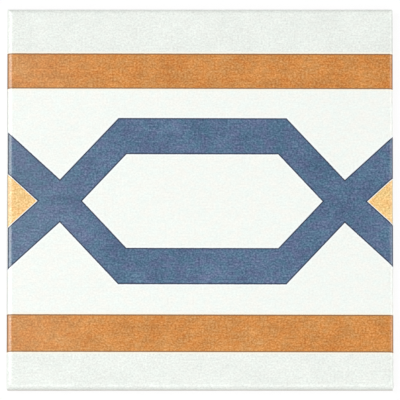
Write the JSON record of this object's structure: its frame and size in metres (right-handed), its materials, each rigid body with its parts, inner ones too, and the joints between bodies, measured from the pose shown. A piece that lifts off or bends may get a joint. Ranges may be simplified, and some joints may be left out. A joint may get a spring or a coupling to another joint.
{
  "type": "ceramic tile",
  "caption": "Square glazed ceramic tile with rounded arrises, a keyed back and a printed border pattern of bands and a crossed hexagon, for walls and floors.",
  "frame": {"origin": "middle of the back, on the plane of the ribs that the tile lies on", "axes": "+Z out of the glazed face; +X along the printed bands, to the right in the picture; +Y across the bands, up in the picture"},
  "size_m": [0.197, 0.197, 0.0085],
  "materials": {
    "printed_glaze": "satin white glaze printed in ochre, slate blue and straw yellow over a pale fired body"
  },
  "bodies": {
    "root": {"tile": "printed_glaze"}
  },
  "joints": []
}
